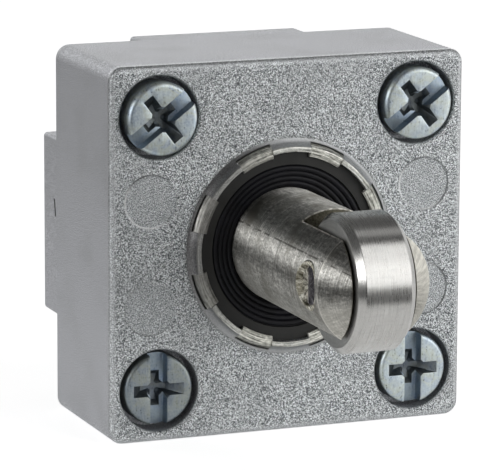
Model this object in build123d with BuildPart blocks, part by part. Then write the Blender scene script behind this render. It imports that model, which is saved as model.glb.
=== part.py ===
# Limit switch head with a steel roller plunger, in millimetres.
# +Z is up as the head stands on its lower side, +X is to the right, and the roller points along -Y.
# The origin is on the plunger's axis, in the rear plane of the plus-shaped plinth.
# A height is a distance ahead of that plane, so a point at height h lies at y = -h.

import os
from math import cos, radians, sin, sqrt

from build123d import *

# Fits
sliding_gap = 0.03        # radial gap of a shaft in its hole
seated_gap = 0.05         # gap round a piece that drops into a recess
side_gap = 0.1            # gap on each side of the guide ears and round the rod's retainer
roller_side_gap = 0.35

# Cast housing
body_side = 40.0
body_depth = 17.2
body_corner = 1.5
front_edge_round = 0.65
rear_edge_round = 0.15
plinth_height = 5.2
plinth_arm = 19.5
plinth_step = 0.3         # the arms end this far inside the block's sides
plinth_inner_round = 2.0
plinth_outer_round = 0.4
plinth_rim_chamfer = 0.3

# Raised collar round the bore, with its staked tabs
collar_height = 1.0
collar_foot_r = 11.6
collar_land_r = 10.7
collar_flare_r = 1.6
stake_count = 8
stake_angle = 21.0
stake_first_angle = 22.5
stake_tip_r = 9.72
stake_ledge_r = 10.75     # the tab is flat up to here, then falls steeply
stake_outer_r = 11.25
stake_drop = 0.2          # the tab's top lies this far below the collar's top
stake_foot_drop = 0.06    # the punch's heel goes this far below the face
stake_tip_chamfer = 0.3

# Bores of the housing
front_bore_r = 10.2
front_bore_depth = 4.5    # below the collar's top
bush_bore_r = 8.0
cavity_r = 8.5
plate_recess_r = 10.0
circlip_groove_depth = 0.5

# Fixing screws, M4 with a combined slot and cross
screw_pitch = 29.0
screw_r = 2.0
screw_length = 23.0
screw_tip_chamfer = 0.5
screw_neck_r = 1.6        # behind the thread, where the captive ring sits
thread_below_block = 1.4  # the thread ends this far behind the block
screw_head_r = 3.85
screw_head_height = 2.9
screw_head_round = 0.4
screw_slot_width = 1.8
screw_slot_depth = 1.2
screw_cross_length = 5.5
screw_cross_width = 1.2
screw_cross_depth = 1.9
screw_cross_taper = 14
screw_hole_r = 2.25
counterbore_r = 4.4
counterbore_depth = 3.1
counterbore_chamfer = 0.15

# How the loose screws stand: turned about their own lines, and lifted off their seats
upper_screw_turn = 37.0
lower_screw_turn = 90.0
upper_left_lift = 1.4
upper_right_lift = 1.05
lower_left_lift = 0.0
lower_right_lift = 0.3

# Captive rings that keep the screws in the head: the thread can't pass through them
captive_pocket_r = 3.6
captive_pocket_depth = 1.2
captive_ring_height = 1.0

# Shallow ejector marks on the front face
mark_r = 2.9
mark_depth = 0.05
mark_x = 15.5
mark_z = 5.7

# Plunger
plunger_r = 6.15
plunger_travel = 6.0
plunger_tail = 0.75       # land behind the circlip's groove
plunger_chamfer = 0.3
plunger_flats = 11.2
spring_bore_r = 4.1
rod_bore_r = 2.5
rod_bore_depth = 6.0
drill_point = 1.4
dome_r = 6.9
dome_centre_ahead = 19.35  # ahead of the housing's face
slot_floor_gap = 0.35     # between the roller and the slot's floor
slot_floor_round = 0.2

# Roller on its axle
roller_r = 7.15
roller_width = 6.2
roller_chamfer = 0.65
roller_ahead = 19.4       # axle ahead of the housing's face
axle_r = 1.5
countersink_r = 2.5
countersink_depth = 1.15
axle_end_below = 0.45     # axle's end below the plunger's outside

# Wiper seal, its retaining ring and the guide bush
ring_inner_r = 8.75
ring_thickness = 1.1
ring_below_lip = 0.7
seal_flange = 1.5
seal_fold_r = 0.32
seal_lip_below = 0.9      # lip below the retaining ring's top
bush_flange = 1.2
bush_length = 6.7
o_ring_wire = 1.2
o_ring_squash = 0.12
o_ring_ahead = 2.6        # middle of its groove ahead of the bush's rear end

# Stack behind the bush
buffer_thickness = 0.8
buffer_width = 1.55
guide_washer_thickness = 1.0
guide_washer_r = 8.3
ear_reach = 9.6
ear_width = 3.0
shaft_clip_thickness = 0.8
shaft_clip_r = 7.3
shaft_groove_depth = 0.55
shaft_clip_opening = 50.0

# Springs, push rod and rear plate
return_wire = 0.8
return_coil_r = 3.4
return_turns = 8.0
retainer_thickness = 0.8
rod_r = 1.5
rod_head_r = 2.4
rod_head_height = 1.2
rod_tip_inside = 0.4
rod_tip_chamfer = 0.3
overtravel = 2.0
overtravel_wire = 0.55
overtravel_coil_r = 1.85
overtravel_turns = 4.0
plate_thickness = 1.0
plate_chamfer = 0.15
plate_boss_r = 2.6
plate_boss_height = 2.6
bore_clip_thickness = 0.8
bore_clip_width = 1.3
bore_clip_opening = 44.0
bore_clip_lug_r = 1.35
bore_clip_eye_r = 0.55

# Gasket under the plinth
gasket_r = 12.1
gasket_width = 1.6
gasket_depth = 1.2

# Heights ahead of the rear plane that follow from the sizes above
face_h = plinth_height + body_depth
lip_h = face_h + collar_height
front_floor_h = lip_h - front_bore_depth
ring_top_h = lip_h - ring_below_lip
tab_floor_h = ring_top_h + seated_gap
tab_top_h = lip_h - stake_drop
stake_step = 360 / stake_count
ring_floor_h = ring_top_h - ring_thickness
seal_floor_h = ring_floor_h - seal_flange
bush_rear_h = seal_floor_h - bush_length
buffer_h = bush_rear_h - seated_gap - buffer_thickness
guide_washer_h = buffer_h - guide_washer_thickness
shaft_clip_h = guide_washer_h - shaft_clip_thickness
plunger_rear_h = shaft_clip_h - plunger_tail
axle_h = face_h + roller_ahead
slot_floor_h = axle_h - roller_r - slot_floor_gap
dome_centre_h = face_h + dome_centre_ahead
spring_step_h = face_h
retainer_h = spring_step_h - retainer_thickness
rod_head_h = spring_step_h
rod_bore_end_h = spring_step_h + rod_bore_depth
bore_clip_h = 0.3
plate_h = bore_clip_h + bore_clip_thickness
plate_top_h = plate_h + plate_thickness
screw_seat_h = face_h - counterbore_depth
thread_end_h = plinth_height - thread_below_block
slot_width = roller_width + 2 * roller_side_gap
dome_edge_h = dome_centre_h + sqrt(dome_r**2 - plunger_r**2)


def level(height):
    """The plane across the plunger's axis at a height, looking out of the front face."""
    return Plane.XZ.offset(height)


def section(angle=0.0):
    """The plane through the plunger's axis at an angle round it: radius across, height up."""
    turn = radians(angle)
    return Plane(origin=(0, 0, 0), x_dir=(cos(turn), 0, sin(turn)), z_dir=(sin(turn), 0, -cos(turn)))


across = Plane(origin=(0, -axle_h, 0), x_dir=(1, 0, 0), z_dir=(0, 0, 1))
axle_line = Axis((0, -axle_h, 0), (1, 0, 0))
rearward = Plane(origin=(0, 0, 0), x_dir=(-1, 0, 0), z_dir=(0, 1, 0))
screw_places = [
    Location((x * screw_pitch / 2, -lift, z * screw_pitch / 2), (0, -turn, 0))
    for x, z, turn, lift in (
        (-1, 1, upper_screw_turn, upper_left_lift),
        (1, 1, upper_screw_turn, upper_right_lift),
        (-1, -1, lower_screw_turn, lower_left_lift),
        (1, -1, lower_screw_turn, lower_right_lift),
    )
]

with BuildPart() as head_housing:
    # Block with a plus-shaped plinth behind it
    with BuildSketch(level(plinth_height)):
        RectangleRounded(body_side, body_side, body_corner)
    extrude(amount=body_depth)
    fillet(head_housing.faces().sort_by(Axis.Y)[0].edges(), front_edge_round)
    fillet(head_housing.faces().sort_by(Axis.Y)[-1].edges(), rear_edge_round)
    with BuildSketch(level(0)):
        Rectangle(body_side - 2 * plinth_step, plinth_arm)
        Rectangle(plinth_arm, body_side - 2 * plinth_step)
        inner = [v for v in vertices() if max(abs(v.X), abs(v.Y)) < plinth_arm / 2 + 0.01]
        fillet(inner, plinth_inner_round)
        outer = [v for v in vertices() if max(abs(v.X), abs(v.Y)) > body_side / 2 - plinth_step - 0.01]
        fillet(outer, plinth_outer_round)
    extrude(amount=plinth_height + rear_edge_round)
    chamfer(head_housing.faces().sort_by(Axis.Y)[-1].edges(), plinth_rim_chamfer)

    # Collar that flares up from the face to a narrow land
    with BuildSketch(section()):
        with BuildLine():
            Polyline((collar_foot_r, face_h), (collar_foot_r, face_h - 1), (bush_bore_r, face_h - 1))
            Polyline((bush_bore_r, face_h - 1), (bush_bore_r, lip_h), (collar_land_r, lip_h))
            RadiusArc((collar_land_r, lip_h), (collar_foot_r, face_h), -collar_flare_r)
        make_face()
    revolve(axis=Axis.Y)

    # Stepped bore for the seal, the bush, the guide washer and the rear plate
    with BuildSketch(section()):
        with BuildLine():
            Polyline(
                (0, -1),
                (plate_recess_r, -1),
                (plate_recess_r, plate_top_h),
                (cavity_r, plate_top_h),
                (cavity_r, bush_rear_h),
                (bush_bore_r, bush_rear_h),
                (bush_bore_r, front_floor_h),
                (front_bore_r, front_floor_h),
                (front_bore_r, tab_floor_h),
                (stake_tip_r, tab_floor_h),
                (stake_tip_r, tab_top_h - stake_tip_chamfer / 2),
                (stake_tip_r + stake_tip_chamfer, tab_top_h),
                (front_bore_r, tab_top_h),
                (front_bore_r, lip_h + 1),
                (0, lip_h + 1),
                close=True,
            )
        make_face()
    revolve(axis=Axis.Y, mode=Mode.SUBTRACT)
    with BuildSketch(level(bore_clip_h)):
        Circle(plate_recess_r + circlip_groove_depth)
    extrude(amount=bore_clip_thickness, mode=Mode.SUBTRACT)

    # Two axial grooves for the ears of the guide washer
    with BuildSketch(level(0)):
        Rectangle(2 * (ear_reach + 2 * side_gap), ear_width + 2 * side_gap)
    extrude(amount=bush_rear_h, mode=Mode.SUBTRACT)

    # Gasket groove in the plinth
    with BuildSketch(level(0)):
        Circle(gasket_r + gasket_width / 2)
        Circle(gasket_r - gasket_width / 2, mode=Mode.SUBTRACT)
    extrude(amount=gasket_depth, mode=Mode.SUBTRACT)

    # Screw holes, counterbored in front and pocketed behind for the captive rings
    with Locations(level(face_h)):
        with GridLocations(screw_pitch, screw_pitch, 2, 2):
            CounterBoreHole(screw_hole_r, counterbore_r, counterbore_depth)
    rims = [
        edge
        for edge in head_housing.edges().filter_by(GeomType.CIRCLE)
        if abs(edge.radius - counterbore_r) < 0.001 and abs(edge.center().Y + face_h) < 0.001
    ]
    chamfer(rims, counterbore_chamfer)
    with Locations(rearward.offset(-plinth_height)):
        with GridLocations(screw_pitch, screw_pitch, 2, 2):
            Hole(captive_pocket_r, captive_pocket_depth)

    # Ejector marks
    with BuildSketch(level(face_h)):
        with GridLocations(2 * mark_x, 2 * mark_z, 2, 2):
            Circle(mark_r)
    extrude(amount=-mark_depth, mode=Mode.SUBTRACT)

    # Staked tabs: the punch drove the collar inwards there, and the bore stays wide between them
    for number in range(stake_count):
        tab_start = stake_first_angle + stake_angle / 2 + number * stake_step
        with BuildSketch(section(tab_start)):
            with BuildLine():
                Polyline(
                    (front_bore_r, tab_top_h),
                    (stake_ledge_r, tab_top_h),
                    (stake_outer_r, face_h - stake_foot_drop),
                    (stake_outer_r, lip_h + 1),
                    (front_bore_r, lip_h + 1),
                    close=True,
                )
            make_face()
        revolve(axis=Axis.Y, revolution_arc=stake_angle, mode=Mode.SUBTRACT)
        with BuildSketch(section(tab_start + stake_step - stake_angle)):
            with BuildLine():
                Polyline(
                    (stake_tip_r - 1, tab_floor_h),
                    (front_bore_r, tab_floor_h),
                    (front_bore_r, tab_top_h + 0.1),
                    (stake_tip_r - 1, tab_top_h + 0.1),
                    close=True,
                )
            make_face()
        revolve(axis=Axis.Y, revolution_arc=stake_step - stake_angle, mode=Mode.SUBTRACT)

with BuildPart() as fixing_screw:
    with BuildSketch(section()):
        with BuildLine():
            Polyline(
                (0, screw_seat_h + screw_head_height),
                (0, screw_seat_h - screw_length),
                (screw_r - screw_tip_chamfer, screw_seat_h - screw_length),
                (screw_r, screw_seat_h - screw_length + screw_tip_chamfer),
                (screw_r, thread_end_h - (screw_r - screw_neck_r)),
                (screw_neck_r, thread_end_h),
                (screw_neck_r, screw_seat_h),
                (screw_head_r, screw_seat_h),
                (screw_head_r, screw_seat_h + screw_head_height - screw_head_round),
            )
            RadiusArc(
                (screw_head_r, screw_seat_h + screw_head_height - screw_head_round),
                (screw_head_r - screw_head_round, screw_seat_h + screw_head_height),
                -screw_head_round,
            )
            Line(
                (screw_head_r - screw_head_round, screw_seat_h + screw_head_height),
                (0, screw_seat_h + screw_head_height),
            )
        make_face()
    revolve(axis=Axis.Y)
    with BuildSketch(level(screw_seat_h + screw_head_height)):
        Rectangle(2 * screw_head_r, screw_slot_width)
    extrude(amount=-screw_slot_depth, mode=Mode.SUBTRACT)
    with BuildSketch(level(screw_seat_h + screw_head_height)):
        Rectangle(screw_cross_length, screw_cross_width)
        Rectangle(screw_cross_width, screw_cross_length)
    extrude(amount=-screw_cross_depth, taper=screw_cross_taper, mode=Mode.SUBTRACT)

with BuildPart() as fixing_screws:
    with Locations(*screw_places):
        add(fixing_screw.part)

with BuildPart() as screw_retaining_rings:
    with BuildSketch(level(plinth_height + captive_pocket_depth)):
        with GridLocations(screw_pitch, screw_pitch, 2, 2):
            Circle(captive_pocket_r - sliding_gap)
            Circle(screw_neck_r + sliding_gap, mode=Mode.SUBTRACT)
    extrude(amount=-captive_ring_height)

with BuildPart() as seal_retaining_ring:
    with BuildSketch(level(ring_floor_h)):
        Circle(front_bore_r - seated_gap)
        Circle(ring_inner_r, mode=Mode.SUBTRACT)
    extrude(amount=ring_thickness)

with BuildPart() as wiper_seal:
    # Flange under the ring, folds that step down to a lip round the plunger
    lip_r = plunger_r + sliding_gap
    lip_top_h = ring_top_h - seal_lip_below
    fold_pitch = (ring_inner_r - seated_gap - lip_r) / 4.5
    with BuildSketch(section()):
        with BuildLine():
            Polyline(
                (lip_r, lip_top_h),
                (lip_r, lip_top_h - 0.5),
                (lip_r + 0.6, seal_floor_h + 0.4),
                (lip_r + 0.6, seal_floor_h),
                (front_bore_r - seated_gap, seal_floor_h),
                (front_bore_r - seated_gap, ring_floor_h),
                (ring_inner_r - seated_gap, ring_floor_h),
                (ring_inner_r - seated_gap, ring_top_h - 0.25),
                (lip_r, lip_top_h),
            )
        make_face()
    revolve(axis=Axis.Y)
    for number in range(4):
        fold_r = ring_inner_r - seated_gap - seal_fold_r - 0.05 - number * fold_pitch
        drop = (ring_inner_r - fold_r) / (ring_inner_r - lip_r)
        fold_h = ring_top_h - 0.25 - drop * (seal_lip_below - 0.25)
        with BuildSketch(section()):
            with Locations((fold_r, fold_h)):
                Circle(seal_fold_r)
        revolve(axis=Axis.Y)

with BuildPart() as guide_bush:
    with BuildSketch(section()):
        with BuildLine():
            Polyline(
                (plunger_r + sliding_gap, bush_rear_h),
                (bush_bore_r - sliding_gap, bush_rear_h),
                (bush_bore_r - sliding_gap, seal_floor_h - bush_flange),
                (front_bore_r - seated_gap, seal_floor_h - bush_flange),
                (front_bore_r - seated_gap, seal_floor_h),
                (plunger_r + sliding_gap, seal_floor_h),
                close=True,
            )
        make_face()
        groove_middle = bush_rear_h + o_ring_ahead
        with Locations((bush_bore_r, groove_middle)):
            Rectangle(2 * (o_ring_wire - o_ring_squash), 1.2 * o_ring_wire, mode=Mode.SUBTRACT)
    revolve(axis=Axis.Y)

with BuildPart() as bush_o_ring:
    # Squashed between the groove's floor and the housing's bore
    with BuildSketch(section()):
        with Locations((bush_bore_r - (o_ring_wire - o_ring_squash) / 2, groove_middle)):
            Ellipse((o_ring_wire - o_ring_squash) / 2 - 0.01, (o_ring_wire + o_ring_squash) / 2)
    revolve(axis=Axis.Y)

with BuildPart() as plunger:
    with BuildSketch(section()):
        with BuildLine():
            Polyline(
                (0, dome_centre_h + dome_r),
                (0, rod_bore_end_h + drill_point),
                (rod_bore_r, rod_bore_end_h),
                (rod_bore_r, spring_step_h),
                (spring_bore_r, spring_step_h),
                (spring_bore_r, plunger_rear_h),
                (plunger_r - plunger_chamfer, plunger_rear_h),
                (plunger_r, plunger_rear_h + plunger_chamfer),
                (plunger_r, dome_edge_h),
            )
            RadiusArc((plunger_r, dome_edge_h), (0, dome_centre_h + dome_r), -dome_r)
        make_face()
    revolve(axis=Axis.Y)
    # Flats and groove at the rear end
    with BuildSketch(level(plunger_rear_h)):
        Circle(plunger_r + 1)
        Rectangle(plunger_flats, 2 * plunger_r + 2, mode=Mode.SUBTRACT)
    extrude(amount=bush_rear_h - plunger_rear_h - 2 * seated_gap, mode=Mode.SUBTRACT)
    with BuildSketch(level(shaft_clip_h)):
        Circle(plunger_r + 1)
        Circle(plunger_r - shaft_groove_depth, mode=Mode.SUBTRACT)
    extrude(amount=shaft_clip_thickness, mode=Mode.SUBTRACT)
    # Slot for the roller
    with BuildSketch(Plane.XY):
        with Locations((0, -slot_floor_h)):
            Rectangle(slot_width, 2 * dome_r + roller_r, align=(Align.CENTER, Align.MAX))
        floor_corners = [v for v in vertices() if abs(v.Y + slot_floor_h) < 0.01]
        fillet(floor_corners, slot_floor_round)
    extrude(amount=plunger_r + 1, both=True, mode=Mode.SUBTRACT)
    # Countersunk hole for the axle
    with BuildSketch(across):
        with BuildLine():
            Polyline(
                (-plunger_r - 1, 0),
                (plunger_r + 1, 0),
                (plunger_r + 1, countersink_r + (countersink_r - axle_r) / countersink_depth),
                (plunger_r - countersink_depth, axle_r + sliding_gap / 2),
                (countersink_depth - plunger_r, axle_r + sliding_gap / 2),
                (-plunger_r - 1, countersink_r + (countersink_r - axle_r) / countersink_depth),
                close=True,
            )
        make_face()
    revolve(axis=axle_line, mode=Mode.SUBTRACT)

with BuildPart() as roller_axle:
    # Plain shaft with its ends spread into the countersinks
    end_x = plunger_r - axle_end_below
    neck_x = plunger_r - countersink_depth
    spread = (end_x - neck_x) * (countersink_r - axle_r) / countersink_depth - sliding_gap
    with BuildSketch(across):
        with BuildLine():
            Polyline(
                (-end_x, 0),
                (end_x, 0),
                (end_x, axle_r + spread / 2),
                (end_x - 0.12, axle_r + spread * 0.8),
                (neck_x, axle_r),
                (-neck_x, axle_r),
                (0.12 - end_x, axle_r + spread * 0.8),
                (-end_x, axle_r + spread / 2),
                close=True,
            )
        make_face()
    revolve(axis=axle_line)

with BuildPart() as roller:
    with BuildSketch(across):
        with Locations((0, axle_r + sliding_gap)):
            Rectangle(roller_width, roller_r - axle_r - sliding_gap, align=(Align.CENTER, Align.MIN))
        rim_corners = [v for v in vertices() if v.Y > roller_r - axle_h - 0.01]
        chamfer(rim_corners, roller_chamfer)
    revolve(axis=axle_line)

with BuildPart() as buffer_washer:
    with BuildSketch(level(buffer_h)):
        Circle(plunger_r + buffer_width)
        Circle(plunger_r + sliding_gap, mode=Mode.SUBTRACT)
    extrude(amount=buffer_thickness)

with BuildPart() as guide_washer:
    # Keyed to the plunger's flats and to the housing's grooves, so that the roller can't turn away
    with BuildSketch(level(guide_washer_h)):
        Circle(guide_washer_r)
        Rectangle(2 * ear_reach, ear_width)
        with BuildSketch(mode=Mode.PRIVATE) as keyed_hole:
            Circle(plunger_r + sliding_gap)
            Rectangle(plunger_flats + 2 * sliding_gap, 2 * plunger_r + 2, mode=Mode.INTERSECT)
        add(keyed_hole.sketch, mode=Mode.SUBTRACT)
    extrude(amount=guide_washer_thickness)

with BuildPart() as plunger_circlip:
    with BuildSketch(level(shaft_clip_h)):
        Circle(shaft_clip_r)
        Circle(plunger_r - shaft_groove_depth + sliding_gap, mode=Mode.SUBTRACT)
        with BuildSketch(mode=Mode.PRIVATE) as clip_opening:
            half = radians(shaft_clip_opening / 2)
            Polygon(
                (0, 0), (2 * shaft_clip_r * cos(half), -2 * shaft_clip_r * sin(half)),
                (2 * shaft_clip_r * cos(half), 2 * shaft_clip_r * sin(half)), align=None,
            )
        add(clip_opening.sketch, rotation=-90, mode=Mode.SUBTRACT)
    extrude(amount=shaft_clip_thickness)

with BuildPart() as push_rod:
    with BuildSketch(section()):
        with BuildLine():
            Polyline(
                (0, rod_head_h + rod_head_height),
                (0, rod_tip_inside),
                (rod_r - rod_tip_chamfer, rod_tip_inside),
                (rod_r, rod_tip_inside + rod_tip_chamfer),
                (rod_r, rod_head_h),
                (rod_head_r, rod_head_h),
                (rod_head_r, rod_head_h + rod_head_height),
                close=True,
            )
        make_face()
    revolve(axis=Axis.Y)

with BuildPart() as rod_retainer:
    with BuildSketch(level(retainer_h)):
        Circle(spring_bore_r - side_gap)
        Circle(rod_r + side_gap, mode=Mode.SUBTRACT)
    extrude(amount=retainer_thickness)

with BuildPart() as rear_guide_plate:
    with BuildSketch(section()):
        with BuildLine():
            Polyline(
                (rod_r + sliding_gap, plate_h),
                (plate_recess_r - seated_gap, plate_h),
                (plate_recess_r - seated_gap, plate_top_h),
                (plate_boss_r, plate_top_h),
                (plate_boss_r, plate_top_h + plate_boss_height - plate_chamfer),
                (plate_boss_r - plate_chamfer, plate_top_h + plate_boss_height),
                (rod_r + sliding_gap, plate_top_h + plate_boss_height),
                close=True,
            )
        make_face()
    revolve(axis=Axis.Y)

with BuildPart() as rear_circlip:
    # Internal clip with an eye in each end
    clip_outer_r = plate_recess_r + circlip_groove_depth - seated_gap
    clip_inner_r = clip_outer_r - bore_clip_width
    eye_r = clip_outer_r - circlip_groove_depth - bore_clip_lug_r
    eye_turn = bore_clip_opening / 2
    eye_places = [(eye_r * sin(radians(t)), -eye_r * cos(radians(t))) for t in (-eye_turn, eye_turn)]
    with BuildSketch(level(bore_clip_h)):
        Circle(clip_outer_r)
        Circle(clip_inner_r, mode=Mode.SUBTRACT)
        half = radians(eye_turn)
        with BuildSketch(mode=Mode.PRIVATE) as bore_clip_gap:
            Polygon(
                (0, 0), (2 * clip_outer_r * sin(half), -2 * clip_outer_r * cos(half)),
                (-2 * clip_outer_r * sin(half), -2 * clip_outer_r * cos(half)), align=None,
            )
        add(bore_clip_gap.sketch, mode=Mode.SUBTRACT)
        with Locations(*eye_places):
            Circle(bore_clip_lug_r)
            Circle(bore_clip_eye_r, mode=Mode.SUBTRACT)
    extrude(amount=bore_clip_thickness)

with BuildPart() as body_gasket:
    with BuildSketch(level(0)):
        Circle(gasket_r + gasket_width / 2 - sliding_gap)
        Circle(gasket_r - gasket_width / 2 + sliding_gap, mode=Mode.SUBTRACT)
    extrude(amount=gasket_depth)


def coil(turns, coil_r, wire, low_h, high_h):
    """The middle line of a wire wound round the plunger's axis, with both of its ends on their seats."""
    length = high_h - low_h - wire - 2 * seated_gap
    return Helix(length / turns, length, coil_r, (0, -low_h - wire / 2 - seated_gap, 0), (0, -1, 0))


with BuildPart() as return_spring:
    with BuildLine() as return_path:
        coil(return_turns, return_coil_r, return_wire, plate_top_h, retainer_h)
    with BuildSketch(Plane(origin=return_path.line @ 0, z_dir=return_path.line % 0)):
        Circle(return_wire / 2)
    sweep(path=return_path.line, is_frenet=True)

with BuildPart() as overtravel_spring:
    with BuildLine() as overtravel_path:
        coil(overtravel_turns, overtravel_coil_r, overtravel_wire, rod_head_h + rod_head_height, rod_bore_end_h)
    with BuildSketch(Plane(origin=overtravel_path.line @ 0, z_dir=overtravel_path.line % 0)):
        Circle(overtravel_wire / 2)
    sweep(path=overtravel_path.line, is_frenet=True)

os.makedirs("parts", exist_ok=True)
pieces = {
    "head_housing": head_housing,
    "fixing_screws": fixing_screws,
    "screw_retaining_rings": screw_retaining_rings,
    "seal_retaining_ring": seal_retaining_ring,
    "wiper_seal": wiper_seal,
    "guide_bush": guide_bush,
    "bush_o_ring": bush_o_ring,
    "plunger": plunger,
    "roller_axle": roller_axle,
    "roller": roller,
    "buffer_washer": buffer_washer,
    "guide_washer": guide_washer,
    "plunger_circlip": plunger_circlip,
    "push_rod": push_rod,
    "rod_retainer": rod_retainer,
    "overtravel_spring": overtravel_spring,
    "return_spring": return_spring,
    "rear_guide_plate": rear_guide_plate,
    "rear_circlip": rear_circlip,
    "body_gasket": body_gasket,
}
for name, piece in pieces.items():
    piece.part.label = name
    export_step(piece.part, f"parts/{name}.step")
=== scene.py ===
# Looks of a limit switch head with a steel roller plunger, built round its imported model.
# Lengths are in mm unless a comment says otherwise, and MM turns them into metres.
# A height is a distance ahead of the housing's rear plane: y = -height.
from math import cos, pi, radians, sin, tau

import bmesh
import bpy
from mathutils import Matrix, Quaternion, Vector


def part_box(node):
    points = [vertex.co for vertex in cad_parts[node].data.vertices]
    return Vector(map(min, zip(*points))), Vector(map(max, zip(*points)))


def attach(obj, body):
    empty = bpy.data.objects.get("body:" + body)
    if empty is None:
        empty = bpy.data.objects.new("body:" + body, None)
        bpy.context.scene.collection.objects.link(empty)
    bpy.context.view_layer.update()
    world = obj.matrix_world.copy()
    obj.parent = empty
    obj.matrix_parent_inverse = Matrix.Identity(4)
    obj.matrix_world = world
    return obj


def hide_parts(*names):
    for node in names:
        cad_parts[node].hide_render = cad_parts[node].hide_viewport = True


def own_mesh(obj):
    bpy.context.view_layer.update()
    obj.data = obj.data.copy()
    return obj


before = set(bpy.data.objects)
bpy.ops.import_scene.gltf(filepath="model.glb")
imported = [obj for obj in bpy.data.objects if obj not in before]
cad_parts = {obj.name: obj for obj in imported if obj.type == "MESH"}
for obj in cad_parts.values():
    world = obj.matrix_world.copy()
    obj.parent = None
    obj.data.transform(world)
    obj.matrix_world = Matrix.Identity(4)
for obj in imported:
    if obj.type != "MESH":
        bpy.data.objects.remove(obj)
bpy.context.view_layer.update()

MM = 0.001

# Places worked out from the model's boxes. Of these only the collar's height repeats a size of the part
housing_low, housing_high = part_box("head_housing")
roller_low, roller_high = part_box("roller")
COLLAR_HEIGHT = 1.0
LIP_H = -housing_low[1] / MM
FACE_H = LIP_H - COLLAR_HEIGHT
HALF_SIDE = housing_high[0] / MM
AXLE_H = -(roller_low[1] + roller_high[1]) / 2 / MM
ROLLER_R = roller_high[2] / MM

# Places that repeat the part's sizes: its edges, staked collar, ejector marks and plunger; angles in degrees
EDGE_ROUND = 0.65
STAKE_COUNT = 8
STAKE_ANGLE = 21.0
STAKE_FIRST = 22.5
STAKE_TIP_R = 9.72
STAKE_LEDGE_R = 10.75
STAKE_OUTER_R = 11.25
LAND_INNER_R = 10.2
LAND_OUTER_R = 10.7
COLLAR_FOOT_R = 11.6
MARK_X = 15.5
MARK_Z = 5.7
MARK_R = 2.9
PLUNGER_R = 6.15
COUNTERSINK_R = 2.5
DOME_EDGE_H = AXLE_H + 3.08
FORK_SLOT_HALF = 3.45
FORK_FLOOR_H = AXLE_H - ROLLER_R - 0.35

# Places of wear and painted shade that the photo shows: a flaw in the plinth's left arm and, in degrees round
# the plunger, a line rubbed along it and the direction in which the collar's flank and tabs have painted
# shade
FLAW_Z = (1.2, 2.9)
FLAW_H = (4.15, 4.45)
FLAW_LEAN = 0.2
RUBBED_LINE = (150.6, 151.6)
COLLAR_PAINTED_DARK_SIDE = 168

# Screws, each turned by degrees in its own way; three of them stand a little off their seats, and the lower
# left one's plating is darkened with painted shade
SCREW_PITCH = 29.0
SCREW_SEAT_H = FACE_H - 3.1
SCREW_TOP_H = SCREW_SEAT_H + 2.9
SCREW_TIP_H = SCREW_SEAT_H - 23.0
SCREW_TIP_R = 1.3
SCREW_R = 2.0
SCREW_NECK_R = 1.6
SCREW_HEAD_R = 3.85
SCREW_HEAD_ROUND = 0.5
SCREW_HEAD_BREAK = 0.12
SCREW_EDGE_BREAK = 0.07
THREAD_PITCH = 0.7
THREAD_DEPTH = 0.4
THREAD_END_H = 3.8
RECESS_WIDTH = 1.9
RECESS_DEPTH = 1.3
CROSS_LENGTH = 5.6
CROSS_WIDTH = 1.25
CROSS_DEPTH = 2.0
CROSS_POINT = 0.25
SCREWS = {
    "upper_left": {"x": -1, "z": 1, "turn": 37.0, "lift": 1.4, "finish": "bright"},
    "upper_right": {"x": 1, "z": 1, "turn": 37.0, "lift": 1.05, "finish": "bright"},
    "lower_left": {"x": -1, "z": -1, "turn": 90.0, "lift": 0.0, "finish": "painted_dimming"},
    "lower_right": {"x": 1, "z": -1, "turn": 90.0, "lift": 0.3, "finish": "bright"},
}

# Springs, each between a low and a high height
RETURN_SPRING = {"coil_r": 3.4, "wire": 0.8, "turns": 8.0, "low": 2.1, "high": FACE_H - 0.8}
OVERTRAVEL_SPRING = {"coil_r": 1.85, "wire": 0.55, "turns": 4.0, "low": FACE_H + 1.2, "high": FACE_H + 6.0}

# The photograph's view, fitted to the part's outlines: angles in degrees, focal length and width in pixels
VIEW_AZIMUTH = -21.685
VIEW_ELEVATION = 11.349
VIEW_ROLL = 0.28
VIEW_DISTANCE = 398.37
VIEW_RIGHT = -4.071
VIEW_UP = 1.121
FOCAL_PIXELS = 3776.6
IMAGE_WIDTH = 500
SENSOR = 36.0

# The table under the part, in metres: its left, right, front and back edges, and its gap under the housing
TABLE_X = (-0.07, 0.7)
TABLE_Y = (-0.086, 1.4)
TABLE_GAP = 0.00005

# The table's own glow to the camera and in reflections, to which the lamps add their light
TABLE_GLOW_SEEN = 0.72
TABLE_GLOW_MIRRORED = 0.36


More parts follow.
